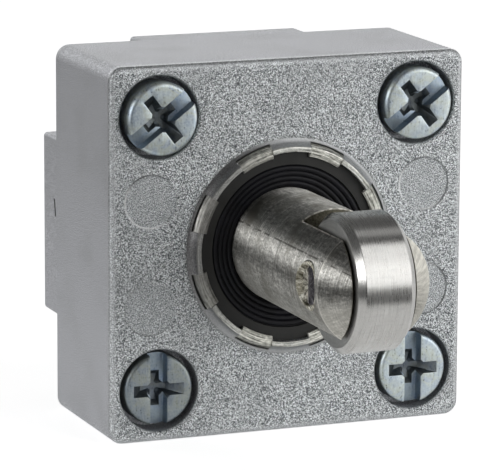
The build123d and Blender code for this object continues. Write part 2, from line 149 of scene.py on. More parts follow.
class Nodes:
    """A node tree, with short calls for what the materials and the world share."""

    def __init__(self, tree):
        self.tree = tree
        self.tree.nodes.clear()

    def node(self, kind, operation=None, **inputs):
        """A new node with its inputs set or linked by name."""
        made = self.tree.nodes.new(kind)
        if operation:
            made.operation = operation
        for name, value in inputs.items():
            self.put(made.inputs[name.replace("_", " ")], value)
        return made

    def put(self, socket, value):
        """Links an output to a socket, or sets the socket to a value."""
        if isinstance(value, bpy.types.NodeSocket):
            self.tree.links.new(value, socket)
        else:
            socket.default_value = value

    def math(self, operation, *values, clamp=False):
        made = self.node("ShaderNodeMath", operation)
        made.use_clamp = clamp
        for socket, value in zip(made.inputs, values):
            self.put(socket, value)
        return made.outputs[0]

    def plus(self, first, second):
        return self.math("ADD", first, second)

    def minus(self, first, second):
        return self.math("SUBTRACT", first, second)

    def times(self, first, *others):
        """The product of all the values."""
        product = first
        for value in others:
            product = self.math("MULTIPLY", product, value)
        return product

    def larger(self, first, second):
        return self.math("MAXIMUM", first, second)

    def size(self, value):
        """A number without its sign."""
        return self.math("ABSOLUTE", value)

    def distance(self, across, up):
        squares = self.plus(self.math("POWER", across, 2.0), self.math("POWER", up, 2.0))
        return self.math("SQRT", squares)

    def axes(self, vector):
        split = self.node("ShaderNodeSeparateXYZ", Vector=vector)
        return split.outputs["X"], split.outputs["Y"], split.outputs["Z"]

    def slope(self, value, start, end, low=0.0, high=1.0):
        """Low before start, high after end, smooth in between."""
        ends = {"From_Min": start, "From_Max": end, "To_Min": low, "To_Max": high}
        made = self.node("ShaderNodeMapRange", Value=value, **ends)
        made.interpolation_type = "SMOOTHSTEP"
        return made.outputs["Result"]


class Shader(Nodes):
    """One material's nodes, with patterns laid over the object's own places in mm."""

    def __init__(self, name):
        self.material = bpy.data.materials.new(name)
        self.material.use_nodes = True
        super().__init__(self.material.node_tree)
        place = self.node("ShaderNodeTexCoord").outputs["Object"]
        scaled = self.node("ShaderNodeVectorMath", "SCALE", Vector=place, Scale=1 / MM)
        self.mm = scaled.outputs["Vector"]

    def stretched(self, x, y, z):
        """The place in mm with each axis times its own factor."""
        made = self.node("ShaderNodeVectorMath", "MULTIPLY")
        self.put(made.inputs[0], self.mm)
        self.put(made.inputs[1], (x, y, z))
        return made.outputs["Vector"]

    def noise(self, scale=1.0, vector=None, detail=2.0, roughness=0.5, distortion=0.0):
        made = self.node(
            "ShaderNodeTexNoise", Vector=vector or self.mm, Scale=scale, Detail=detail,
            Roughness=roughness, Distortion=distortion,
        )
        return made.outputs[0]

    def streaks(self, *stretches, detail, roughness=0.5):
        """Noise over two or three values, each paired with the factor that stretches it."""
        scaled = [self.times(value, factor) for value, factor in stretches]
        place = self.node("ShaderNodeCombineXYZ", **dict(zip("XYZ", scaled)))
        return self.noise(1.0, place.outputs[0], detail, roughness)

    def band(self, value, low, high, soft=0.05):
        """1 between low and high, falling to 0 over the soft distance on each side."""
        rise = self.slope(value, low - soft, low)
        fall = self.slope(value, high, high + soft)
        return self.math("SUBTRACT", rise, fall, clamp=True)

    def spread(self, value, low, high):
        """A value from 0 to 1 as a value from low to high."""
        return self.node("ShaderNodeMapRange", Value=value, To_Min=low, To_Max=high).outputs["Result"]

    def ramp(self, factor, *stops):
        """Colours by a factor, from stops of a position and a colour."""
        made = self.node("ShaderNodeValToRGB", Fac=factor)
        elements = made.color_ramp.elements
        while len(elements) < len(stops):
            elements.new(0.5)
        for element, (position, colour) in zip(elements, stops):
            element.position = position
            element.color = (*colour, 1)
        return made.outputs["Color"]

    def mix_node(self, data_type, socket_type, factor, *sides):
        """Something between two sides by the factor."""
        made = self.tree.nodes.new("ShaderNodeMix")
        made.data_type = data_type
        self.put(made.inputs["Factor"], factor)
        ends = [socket for socket in made.inputs if socket.type == socket_type and socket.name in ("A", "B")]
        for socket, value in zip(ends, sides):
            self.put(socket, value)
        return [socket for socket in made.outputs if socket.type == socket_type][0]

    def mix(self, factor, first, second):
        """A colour between first and second by the factor."""
        sides = [side if isinstance(side, bpy.types.NodeSocket) else (*side, 1) for side in (first, second)]
        return self.mix_node("RGBA", "RGBA", factor, *sides)

    def blend(self, factor, first, second):
        """A number between first and second by the factor."""
        return self.mix_node("FLOAT", "VALUE", factor, first, second)

    def round_plunger(self):
        """Radius and angle round the plunger's middle line, and the height."""
        x, y, z = self.axes(self.mm)
        return self.distance(x, z), self.math("ARCTAN2", z, x), self.times(y, -1.0)

    def round_axle(self):
        """Radius and angle round the axle's middle line, where the angle is 0 behind it, and x."""
        x, y, z = self.axes(self.mm)
        behind = self.plus(y, AXLE_H)
        return self.distance(behind, z), self.math("ARCTAN2", z, behind), x

    def bump(self, height, distance, normal=None):
        """The height is from 0 to 1, the distance in mm."""
        made = self.node("ShaderNodeBump", Height=height, Distance=distance * MM)
        if normal is not None:
            self.put(made.inputs["Normal"], normal)
        return made.outputs["Normal"]

    def soft_edges(self, radius):
        """Normals of edges worn round by a radius in mm."""
        made = self.node("ShaderNodeBevel", Radius=radius * MM)
        made.samples = 6
        return made.outputs["Normal"]

    def tangent(self, axis):
        """The direction of turning marks round an axis."""
        made = self.tree.nodes.new("ShaderNodeTangent")
        made.direction_type = "RADIAL"
        made.axis = axis
        return made.outputs["Tangent"]

    def finish(self, base, roughness, normal=None, tangent=None, **constants):
        """The material, from its colour, roughness, normal and tangent, and the shader's other settings."""
        surface = self.node("ShaderNodeBsdfPrincipled", Base_Color=base, Roughness=roughness)
        if normal is not None:
            self.put(surface.inputs["Normal"], normal)
        if tangent is not None:
            self.put(surface.inputs["Tangent"], tangent)
        for name, value in constants.items():
            surface.inputs[name.replace("_", " ")].default_value = value
        self.node("ShaderNodeOutputMaterial", Surface=surface.outputs[0])
        return self.material


def ejector_marks(s, skin, front):
    """Rings that the ejector pins left on the face, drawn with painted light and shade: the skin with them,
    and a mask of all outside them.
    """
    x, y, z = s.axes(s.mm)
    mark_x = s.minus(s.size(x), MARK_X)
    mark_z = s.minus(s.size(z), MARK_Z)
    from_mark = s.distance(mark_x, mark_z)
    outside = s.times(s.slope(from_mark, MARK_R - 0.22, MARK_R + 0.06), front)
    line = s.times(s.band(from_mark, MARK_R - 0.14, MARK_R - 0.04, 0.09), front)
    line = s.times(line, s.slope(s.noise(0.22, detail=2.0), 0.30, 0.60))

    # A ring's line has a painted highlight at its left towards the middle height and painted shade elsewhere;
    # the lower left one is faintest
    to_the_right = s.times(s.math("SIGN", x), mark_x)
    painted_light_side = s.slope(s.plus(mark_z, to_the_right), 0.5, -1.8)
    colour = s.mix(painted_light_side, (0.11, 0.115, 0.12), (0.98, 0.98, 0.98))
    faintest = s.times(s.math("LESS_THAN", x, 0.0), s.math("LESS_THAN", z, 0.0))
    strength = s.minus(0.55, s.times(faintest, 0.45))
    return s.mix(s.times(line, strength), skin, colour), outside


def cast_zinc():
    """Blasted zinc casting: sparkling grain in front, finer on the sides, bare streaks on the staked tabs,
    painted shade on the collar and in its creases, and a painted highlight along the face's edges.
    """
    s = Shader("cast_zinc")
    x, y, z = s.axes(s.mm)
    radius, angle, height = s.round_plunger()
    front = s.slope(height, FACE_H - 0.7, FACE_H - 0.25)
    grain = s.noise(10.6, detail=2.0, roughness=0.6)
    coarse = s.noise(2.8, detail=2.0, roughness=0.6)
    cloud = s.noise(0.16, detail=3.0)
    speck = s.plus(s.times(grain, 0.92), s.times(coarse, 0.08))
    rough_skin = s.ramp(
        speck, (0.405, (0.04, 0.046, 0.05)), (0.5, (0.365, 0.385, 0.395)), (0.585, (0.94, 0.97, 0.98))
    )
    fine_skin = s.ramp(
        speck, (0.38, (0.22, 0.225, 0.245)), (0.5, (0.51, 0.52, 0.545)), (0.62, (0.85, 0.86, 0.89))
    )
    skin = s.mix(front, fine_skin, rough_skin)
    clouded = s.times(s.slope(cloud, 0.42, 0.75), s.blend(front, 0.3, 0.35))
    skin = s.mix(clouded, skin, (0.36, 0.37, 0.375))
    skin, outside_marks = ejector_marks(s, skin, front)

    # The collar's flank, smooth from the die, with painted shade on its darker side
    flank = s.times(s.band(radius, LAND_OUTER_R, COLLAR_FOOT_R - 0.1, 0.12), front)
    painted_dark_side = s.slope(s.math("COSINE", s.minus(angle, radians(COLLAR_PAINTED_DARK_SIDE))), 0.35, 0.95)
    flank_tone_and_shade = s.mix(painted_dark_side, (0.42, 0.425, 0.43), (0.125, 0.12, 0.12))
    skin = s.mix(s.times(flank, 0.85), skin, flank_tone_and_shade)

    # The staked tabs, and painted shade in the steps behind them and in the crease along the collar's foot
    step = 360 / STAKE_COUNT
    turn = s.minus(s.times(angle, 360 / tau), STAKE_FIRST)
    turn = s.minus(s.math("FLOORED_MODULO", s.plus(turn, step / 2), step), step / 2)
    on_tab = s.minus(1.0, s.slope(s.size(turn), STAKE_ANGLE / 2 - 0.2, STAKE_ANGLE / 2 + 0.4))
    on_ledge = s.times(s.band(radius, STAKE_TIP_R - 0.1, STAKE_LEDGE_R + 0.3, 0.1), on_tab)
    staked = s.times(on_ledge, s.slope(height, FACE_H - 0.15, FACE_H - 0.05))
    crease_shade = s.times(s.band(radius, STAKE_OUTER_R - 0.1, STAKE_OUTER_R + 0.02, 0.08), on_tab)
    foot = s.band(radius, COLLAR_FOOT_R - 0.05, COLLAR_FOOT_R + 0.1, 0.15)
    foot = s.times(foot, s.slope(coarse, 0.38, 0.55))
    crease_shade = s.larger(s.times(crease_shade, 0.65), s.times(foot, 0.35))

    # Bare, smeared metal on the tabs and on the collar's narrow land, darkened by painted shade on the
    # collar's darker side
    land = s.band(radius, LAND_INNER_R - 0.1, LAND_OUTER_R, 0.12)
    land = s.times(land, s.slope(height, LIP_H - 0.25, LIP_H - 0.1))
    smear = s.streaks((angle, 4.0), (radius, 7.0), (height, 1.0), detail=3.0, roughness=0.65)
    torn = s.plus(s.times(smear, 0.75), s.times(s.noise(2.6, detail=2.0), 0.25))
    bare = s.ramp(torn, (0.37, (0.14, 0.14, 0.12)), (0.49, (0.60, 0.60, 0.54)), (0.60, (0.98, 0.97, 0.90)))
    shiny = s.larger(staked, s.times(land, 0.75))
    skin = s.mix(shiny, skin, s.mix(s.times(painted_dark_side, 0.75), bare, (0.17, 0.165, 0.16)))
    skin = s.mix(s.times(crease_shade, front), skin, (0.07, 0.07, 0.06))

    # Edges of the face, polished by handling to a lower roughness and lightened by a painted highlight
    from_middle = s.larger(s.size(x), s.size(z))
    at_side = s.slope(from_middle, HALF_SIDE - EDGE_ROUND - 0.15, HALF_SIDE - EDGE_ROUND + 0.1)
    edge = s.times(at_side, s.slope(height, FACE_H - EDGE_ROUND - 0.1, FACE_H - EDGE_ROUND + 0.1))
    skin = s.mix(s.times(edge, 0.25), skin, (0.70, 0.71, 0.73))

    # A short flaw in the skin of the plinth's left arm
    leaning_height = s.plus(height, s.times(z, FLAW_LEAN))
    flaw = s.times(s.band(z, *FLAW_Z, 0.2), s.band(leaning_height, *FLAW_H, 0.1), s.math("LESS_THAN", x, 0.0))
    skin = s.mix(flaw, skin, (0.02, 0.02, 0.02))

    grain_height = s.minus(s.blend(front, 0.35, 1.0), s.times(flank, 0.8))
    relief = s.plus(s.times(grain, grain_height), s.times(outside_marks, 1.5))
    normal = s.bump(relief, 0.07, s.soft_edges(0.10))
    normal = s.bump(s.times(smear, staked), 0.12, normal)
    roughness = s.blend(shiny, s.spread(speck, 0.62, 0.40), s.spread(smear, 0.25, 0.5))
    roughness = s.blend(s.larger(edge, s.times(flank, 0.7)), roughness, 0.28)
    return s.finish(skin, roughness, normal, Metallic=0.80, IOR=1.5)


def bright_dome(s, base):
    """The dome, with its fan of cutting marks lit by a painted highlight below and to the right, a painted
    highlight along its crisp edge, and painted shade on the plunger's underside behind it.
    """
    radius, angle, height = s.round_plunger()
    dome = s.slope(height, DOME_EDGE_H - 0.03, DOME_EDGE_H + 0.05)
    # Painted highlight: the dome's marks lighter below and to the right
    under = s.slope(s.math("SINE", angle), 0.0, -0.45)
    right = s.slope(s.math("COSINE", angle), 0.2, 0.8)
    bright = s.larger(s.blend(under, 0.06, 0.62), s.times(right, 0.8))
    fan = s.streaks((angle, 13.0), (radius, 0.5), detail=5.0, roughness=0.75)
    marks = s.mix(s.slope(fan, 0.34, 0.66), (0.52, 0.505, 0.45), (0.88, 0.86, 0.79))
    base = s.mix(s.times(dome, bright), base, marks)
    # Painted shade on the plunger's underside behind the dome
    painted_dimming = s.times(under, s.times(s.minus(1.0, dome), 0.35))
    base = s.mix(painted_dimming, base, (0.15, 0.148, 0.128))
    # A painted highlight along the dome's edge
    edge = s.band(height, DOME_EDGE_H - 0.07, DOME_EDGE_H + 0.05, 0.05)
    return s.mix(s.times(edge, 0.6), base, (0.90, 0.88, 0.82))


def milled_slot(s, base, pits):
    """The fork's slot, darkened by painted shade, and the light burr along its edges and round its floor,
    partly a painted highlight.
    """
    radius, angle, height = s.round_plunger()
    aside = s.size(s.axes(s.mm)[0])
    between_tines = s.slope(aside, FORK_SLOT_HALF + 0.08, FORK_SLOT_HALF + 0.02)
    # Painted shade inside the slot
    in_slot = s.times(between_tines, s.slope(height, FORK_FLOOR_H - 0.14, FORK_FLOOR_H - 0.04))
    base = s.mix(in_slot, base, s.ramp(pits, (0.35, (0.075, 0.071, 0.052)), (0.65, (0.20, 0.19, 0.145))))
    # A light line along the edges and round the floor, partly burr and partly painted highlight
    along_tines = s.band(aside, FORK_SLOT_HALF - 0.02, FORK_SLOT_HALF + 0.10, 0.05)
    along_tines = s.times(along_tines, s.slope(height, FORK_FLOOR_H - 0.15, FORK_FLOOR_H))
    round_floor = s.band(height, FORK_FLOOR_H - 0.12, FORK_FLOOR_H + 0.04, 0.05)
    round_floor = s.times(round_floor, s.slope(aside, FORK_SLOT_HALF + 0.1, FORK_SLOT_HALF))
    outermost = s.slope(radius, PLUNGER_R - 0.16, PLUNGER_R - 0.06)
    uneven = s.spread(s.slope(s.noise(1.6, detail=2.0), 0.42, 0.58), 0.35, 1.0)
    burr_and_highlight = s.times(s.larger(along_tines, round_floor), outermost, uneven)
    return s.mix(burr_and_highlight, base, (0.97, 0.94, 0.86))


def torn_countersinks(s, base):
    """Countersinks torn by the punch that spread the axle: the base with them, and their relief."""
    radius, angle, x = s.round_axle()
    cone = s.slope(radius, COUNTERSINK_R + 0.12, COUNTERSINK_R - 0.05)
    cone = s.times(cone, s.slope(s.size(x), PLUNGER_R - 1.4, PLUNGER_R - 1.2))
    torn = s.streaks((angle, 3.2), (radius, 0.8), detail=5.0, roughness=0.75)
    colour = s.ramp(torn, (0.36, (0.07, 0.06, 0.04)), (0.5, (0.42, 0.40, 0.32)), (0.62, (0.98, 0.96, 0.88)))
    return s.mix(cone, base, colour), s.times(torn, cone)


def turned_steel():
    """The plunger and the turned pieces in it: fine turned rings, a few handling scratches, warm grey."""
    s = Shader("turned_steel")
    radius, angle, height = s.round_plunger()
    rings = s.streaks((angle, 1.5), (height, 9.0), (radius, 9.0), detail=3.0, roughness=0.65)
    along = s.streaks((angle, 16.0), (height, 0.7), (radius, 1.0), detail=4.0, roughness=0.7)
    pits = s.noise(4.5, detail=3.0, roughness=0.7)
    cloud = s.noise(0.35, detail=3.0)
    scratch = s.noise(1.0, s.stretched(0.7, 0.35, 4.0), detail=5.0, roughness=0.75, distortion=0.6)
    wear_and_shade = s.plus(s.times(rings, 0.35), s.times(along, 0.30))
    wear_and_shade = s.plus(wear_and_shade, s.times(pits, 0.35))
    base = s.ramp(wear_and_shade, (0.38, (0.15, 0.149, 0.136)), (0.5, (0.43, 0.424, 0.398)), (0.60, (0.84, 0.83, 0.79)))
    base = s.mix(s.slope(cloud, 0.45, 0.8), base, (0.26, 0.25, 0.22))
    base = s.mix(s.slope(scratch, 0.64, 0.72), base, (0.06, 0.055, 0.045))
    line = s.band(s.times(angle, 360 / tau), *RUBBED_LINE, 0.7)
    line = s.times(line, s.slope(s.noise(0.8, detail=2.0), 0.40, 0.52))
    base = s.mix(s.times(line, 0.75), base, (0.05, 0.045, 0.04))
    base = bright_dome(s, base)
    base = milled_slot(s, base, pits)
    base, torn_relief = torn_countersinks(s, base)
    normal = s.bump(wear_and_shade, 0.012, s.soft_edges(0.11))
    normal = s.bump(scratch, 0.015, normal)
    normal = s.bump(torn_relief, 0.15, normal)
    return s.finish(
        base, s.spread(wear_and_shade, 0.42, 0.54), normal, s.tangent("Y"),
        Metallic=1.0, Anisotropic=0.96, Anisotropic_Rotation=0.25,
    )


def pin_steel():
    """The axle, marked outwards by the punch: bright burrs on its rear half, and painted shade on its sunken
    front half.
    """
    s = Shader("pin_steel")
    radius, angle, x = s.round_axle()
    marks = s.streaks((angle, 3.2), (radius, 0.8), detail=4.0, roughness=0.7)
    front_half = s.slope(s.times(radius, s.math("COSINE", angle)), 0.55, 0.0)
    burred = s.ramp(marks, (0.42, (0.14, 0.13, 0.10)), (0.50, (0.60, 0.57, 0.48)), (0.56, (1.0, 0.97, 0.88)))
    # Painted shade for the sunken front half
    wear_and_shade = s.ramp(
        marks, (0.42, (0.03, 0.026, 0.036)), (0.54, (0.12, 0.11, 0.125)), (0.66, (0.42, 0.40, 0.42))
    )
    relief = s.minus(marks, s.times(front_half, 0.5))
    normal = s.bump(relief, 0.20, s.soft_edges(0.08))
    return s.finish(s.mix(front_half, burred, wear_and_shade), s.spread(marks, 0.45, 0.25), normal, Metallic=1.0)


def polished_steel():
    """Roller: ground rim with lines round it, turned rings on its sides."""
    s = Shader("polished_steel")
    radius, angle, x = s.round_axle()
    lines = s.streaks((x, 11.0), (angle, 2.2), (radius, 9.0), detail=4.0, roughness=0.7)
    bars = s.streaks((x, 0.5), (angle, 22.0), detail=2.0)
    cloud = s.noise(0.6, detail=2.0)
    base = s.ramp(
        lines, (0.34, (0.46, 0.455, 0.44)), (0.5, (0.58, 0.575, 0.555)), (0.64, (0.68, 0.675, 0.655))
    )
    base = s.mix(s.times(s.slope(bars, 0.45, 0.75), 0.5), base, (0.42, 0.42, 0.41))
    base = s.mix(s.slope(cloud, 0.2, 0.9), base, (0.56, 0.55, 0.53))
    rim = s.slope(radius, ROLLER_R - 0.75, ROLLER_R - 0.6)
    return s.finish(
        base, s.blend(rim, 0.42, s.spread(lines, 0.22, 0.34)), s.bump(lines, 0.004, s.soft_edges(0.09)),
        s.tangent("X"), Metallic=1.0, Anisotropic=0.5, Anisotropic_Rotation=0.25,
    )


def plated_steel(name="plated_steel", shade=0.96, dark=(0.05, 0.055, 0.055)):
    """Zinc plating with its blue and yellowish tints. A shade below 1 takes it towards the dark colour."""
    s = Shader(name)
    tint = s.noise(0.55, detail=2.0, distortion=0.8)
    speck = s.noise(4.5, detail=3.0, roughness=0.65)
    scuff = s.noise(1.0, s.stretched(5.0, 1.0, 0.9), detail=4.0, roughness=0.7)
    base = s.ramp(
        tint, (0.34, (0.30, 0.38, 0.50)), (0.46, (0.44, 0.50, 0.53)),
        (0.56, (0.50, 0.53, 0.44)), (0.68, (0.36, 0.43, 0.55)),
    )
    wear_and_shade = s.plus(s.times(speck, 0.5), s.times(scuff, 0.5))
    base = s.mix(s.slope(wear_and_shade, 0.25, 0.75), base, (0.68, 0.75, 0.76))
    base = s.mix(s.slope(wear_and_shade, 0.43, 0.33), base, (0.13, 0.15, 0.16))
    base = s.mix(1.0 - shade, base, dark)
    normal = s.bump(wear_and_shade, 0.012, s.soft_edges(0.06))
    return s.finish(base, s.spread(speck, 0.36, 0.54), normal, Metallic=1.0)


def mottled(name, dark, light, low, high, grain, depth, **constants):
    """A finish of two close shades over a fine grain, with its roughness between low and high."""
    s = Shader(name)
    speck = s.noise(grain, detail=3.0)
    cloud = s.noise(grain / 12, detail=2.0)
    base = s.mix(s.slope(cloud, 0.3, 0.7), dark, light)
    base = s.mix(s.spread(speck, 0.0, 0.3), base, light)
    return s.finish(base, s.spread(speck, low, high), s.bump(speck, depth), **constants)


def drawn_wire():
    """Both springs' wire."""
    return mottled(
        "spring_steel", (0.42, 0.42, 0.43), (0.56, 0.56, 0.56), 0.25, 0.4,
        grain=4.0, depth=0.004, Metallic=1.0,
    )


def bronze():
    """The guide bush."""
    return mottled(
        "bronze", (0.62, 0.44, 0.24), (0.74, 0.56, 0.33), 0.3, 0.45,
        grain=3.0, depth=0.004, Metallic=1.0,
    )


def phosphated_steel():
    """The circlips."""
    return mottled(
        "phosphated_steel", (0.05, 0.05, 0.05), (0.09, 0.088, 0.085), 0.45, 0.6,
        grain=5.0, depth=0.006, Metallic=0.6,
    )


def black_polymer():
    """The seal's ring and the screws' captive rings."""
    return mottled(
        "black_polymer", (0.010, 0.010, 0.009), (0.018, 0.018, 0.016), 0.40, 0.55,
        grain=5.0, depth=0.006, IOR=1.45,
    )


def black_rubber():
    """The seals, the gasket and the buffer."""
    return mottled(
        "black_rubber", (0.003, 0.003, 0.004), (0.006, 0.006, 0.009), 0.42, 0.58,
        grain=6.0, depth=0.006, IOR=1.33,
    )


def new_object(name, data):
    """An object with its mesh, lamp or camera, put into the scene."""
    made = bpy.data.objects.new(name, data)
    bpy.context.scene.collection.objects.link(made)
    return made


def dressed(obj, *materials):
    """Gives an object its materials, the first of them on every face that has no index of its own."""
    if obj.data.materials:
        obj.data.materials.clear()
    for material in materials:
        obj.data.materials.append(material)
    return obj


def shaded_by_angle(mesh, degrees=32):
    """Smooth shading, with edges sharper than the angle kept crisp."""
    mesh.shade_smooth()
    mesh.set_sharp_from_angle(angle=radians(degrees))


def lofted(rows):
    """A closed mesh through equal rings of points, with a cap at each end."""
    bm = bmesh.new()
    rings = [[bm.verts.new(p) for p in row] for row in rows]
    count = len(rings[0])
    for lower, upper in zip(rings, rings[1:]):
        for i in range(count):
            j = (i + 1) % count
            bm.faces.new((lower[i], lower[j], upper[j], upper[i]))
    bm.faces.new(list(reversed(rings[0])))
    bm.faces.new(rings[-1])
    return bm


def mesh_from(bm, name):
    """A mesh with its normals outwards, from a bmesh that is freed."""
    bmesh.ops.recalc_face_normals(bm, faces=bm.faces)
    mesh = bpy.data.meshes.new(name)
    bm.to_mesh(mesh)
    bm.free()
    return mesh


def evaluated(obj, name):
    """The mesh that an object has after its modifiers."""
    bpy.context.view_layer.update()
    seen = obj.evaluated_get(bpy.context.evaluated_depsgraph_get())
    made = bpy.data.meshes.new_from_object(seen)
    made.name = name
    return made


def point_on_ring(radius, height, i, steps):
    return (radius * cos(tau * i / steps), radius * sin(tau * i / steps), height)


def ring_of_points(radius, height, steps):
    return [point_on_ring(radius, height, i, steps) for i in range(steps)]


def thread_rows(steps):
    """Rings of points up a screw's thread, which starts shallow and has narrow flats at crest and root."""
    rows_per_turn = 8
    start = SCREW_TIP_H + 0.1
    end = THREAD_END_H - 0.35
    count = int((end - start) / THREAD_PITCH * rows_per_turn)
    rows = []
    for k in range(count + 1):
        height = start + (end - start) * k / count
        fade = min(1.0, (height - start) / 0.5 + 0.1)
        row = []
        for i in range(steps):
            phase = (height / THREAD_PITCH - i / steps) % 1.0
            groove = min(1.0, max(0.0, 2.4 * abs(phase - 0.5) - 0.1))
            radius = SCREW_R - THREAD_DEPTH * groove - (1 - fade) * 0.35 * (1 - groove)
            row.append(point_on_ring(radius, height, i, steps))
        rows.append(row)
    return rows


def head_rows(steps):
    """Rings of points up a screw's neck and head, whose top edge is round."""
    profile = [
        (SCREW_NECK_R, THREAD_END_H),
        (SCREW_NECK_R, SCREW_SEAT_H - 0.15),
        (SCREW_NECK_R + 0.15, SCREW_SEAT_H),
        (SCREW_HEAD_R - SCREW_HEAD_BREAK, SCREW_SEAT_H),
        (SCREW_HEAD_R, SCREW_SEAT_H + SCREW_HEAD_BREAK),
    ]
    arc_steps = 7
    for k in range(arc_steps + 1):
        turn = pi / 2 * k / arc_steps
        radius = SCREW_HEAD_R - SCREW_HEAD_ROUND * (1 - cos(turn))
        profile.append((radius, SCREW_TOP_H - SCREW_HEAD_ROUND * (1 - sin(turn))))
    profile += [(2.4, SCREW_TOP_H), (1.2, SCREW_TOP_H)]
    return [ring_of_points(radius, height, steps) for radius, height in profile]


def screw_body(steps=72):
    """Tip, thread, neck and head of a screw along Z, with z as the height."""
    return lofted([ring_of_points(SCREW_TIP_R, SCREW_TIP_H, steps), *thread_rows(steps), *head_rows(steps)])


def slot_outline(half_width, height):
    """The four corners of a slot right across a screw's head."""
    reach = SCREW_HEAD_R + 1
    corners = [(-reach, -half_width), (reach, -half_width), (reach, half_width), (-reach, half_width)]
    return [(x, y, height) for x, y in corners]


def cross_outline(length, width, web, height):
    """A cross with its inner corners cut by flats. The web is how far a flat reaches out of its corner."""
    a, b, c = length / 2, width / 2, width / 2 + web
    quarter = [(a, -b), (a, b), (c, b), (b, c)]
    points = []
    for k in range(4):
        turn = Matrix.Rotation(k * pi / 2, 2)
        points += [(*(turn @ Vector(p)), height) for p in quarter]
    return points


def recess_cutters():
    """The slot and the tapered cross that are cut into a screw's head. Both start a little above its top."""
    above = 0.3
    floor = SCREW_TOP_H - RECESS_DEPTH
    slot_rows = [
        slot_outline(RECESS_WIDTH / 2 - 0.06, floor),
        slot_outline(RECESS_WIDTH / 2 + 0.02, SCREW_TOP_H + above),
    ]
    cross_rows = [
        cross_outline(0.9, 0.45, 0.2, SCREW_TOP_H - CROSS_DEPTH - CROSS_POINT),
        cross_outline(CROSS_LENGTH * 0.5, CROSS_WIDTH * 0.62, 0.3, SCREW_TOP_H - CROSS_DEPTH),
        cross_outline(CROSS_LENGTH, CROSS_WIDTH, 0.62, SCREW_TOP_H),
        cross_outline(CROSS_LENGTH + 0.3, CROSS_WIDTH + 0.1, 0.68, SCREW_TOP_H + above),
    ]
    return lofted(slot_rows), lofted(cross_rows)


def break_top_edges(bm):
    """Rounds the sharp edges of a screw's head and recess."""
    sharp = []
    for edge in bm.edges:
        low = min(v.co.z for v in edge.verts)
        if low > SCREW_TOP_H - CROSS_DEPTH - 0.1 and len(edge.link_faces) == 2:
            if edge.calc_face_angle(0) > radians(28):
                sharp.append(edge)
    bmesh.ops.bevel(
        bm, geom=sharp, offset=SCREW_EDGE_BREAK, segments=2, profile=0.5, affect="EDGES", clamp_overlap=True
    )


def mark_recess(bm):
    """Gives the faces in a screw's slot the second material and those in its cross the third."""
    for face in bm.faces:
        middle = face.calc_center_median()
        depth = SCREW_TOP_H - middle.z
        under_top = 0.12 < depth < CROSS_DEPTH + 0.4
        if under_top and middle.xy.length < SCREW_HEAD_R - SCREW_HEAD_ROUND:
            beside_cross = abs(middle.y) < RECESS_WIDTH / 2 + 0.05 and abs(middle.x) > 2.0
            face.material_index = 1 if beside_cross and depth < RECESS_DEPTH + 0.05 else 2


def cut_screw():
    """The screw with its recess, its edges broken, still in mm along Z."""
    body = new_object("screw_body", mesh_from(screw_body(), "screw_body"))
    cutters = []
    for number, bm in enumerate(recess_cutters()):
        cutter = new_object(f"recess_{number}", mesh_from(bm, f"recess_{number}"))
        cutters.append(cutter)
        cut = body.modifiers.new("cut", "BOOLEAN")
        cut.operation = "DIFFERENCE"
        cut.solver = "EXACT"
        cut.object = cutter
    mesh = evaluated(body, "screw")
    for obj in (body, *cutters):
        bpy.data.objects.remove(obj)
    bm = bmesh.new()
    bm.from_mesh(mesh)
    bmesh.ops.remove_doubles(bm, verts=bm.verts, dist=0.001)
    break_top_edges(bm)
    mark_recess(bm)
    return mesh_from(bm, "screw")


def screws(plating):
    """Four screws in the corners, each turned and lifted in its own way, with painted shade in their slots
    and crosses.
    """
    shape = cut_screw()
    # Painted shade in the slots and crosses, and on the lower left screw's plating
    slot_painted_shade = plated_steel("plated_slot", 0.45, (0.09, 0.15, 0.25))
    cross_painted_shade = plated_steel("plated_cross", 0.32, (0.012, 0.016, 0.032))
    skins = {"bright": plating, "painted_dimming": plated_steel("plated_steel_dull", 0.48)}
    towards_front = Matrix.Rotation(radians(90), 4, "X")
    for corner, stands in SCREWS.items():
        mesh = shape.copy()
        spin = Matrix.Rotation(radians(stands["turn"]), 4, "Z")
        centre = Vector((stands["x"] * SCREW_PITCH / 2, -stands["lift"], stands["z"] * SCREW_PITCH / 2))
        mesh.transform(Matrix.Translation(centre * MM) @ towards_front @ spin @ Matrix.Scale(MM, 4))
        made = new_object(f"fixing_screw_{corner}", mesh)
        dressed(made, skins[stands["finish"]], slot_painted_shade, cross_painted_shade)
        shaded_by_angle(made.data)
        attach(made, "head")
        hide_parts("fixing_screws")


def spring_path(coil_r, wire, turns, low, high):
    """Points along a spring's wire between two heights, with the last turn at each end closed up."""
    steps_per_turn = 40
    closed = 0.9
    end_gap = 0.05
    total = turns + 1.6
    count = int(total * steps_per_turn)
    closed_rise = wire * 0.55 / closed
    free_rise = high - low - wire - 2 * end_gap - 2 * closed_rise * closed
    path = []
    for k in range(count + 1):
        turn = total * k / count
        share = min(1.0, max(0.0, (turn - closed) / (total - 2 * closed)))
        rise = closed_rise * min(turn, closed)
        if turn > total - closed:
            rise += closed_rise * (turn - total + closed)
        height = low + wire / 2 + end_gap + rise + free_rise * share
        path.append(Vector((coil_r * cos(tau * turn), -height, coil_r * sin(tau * turn))))
    return path


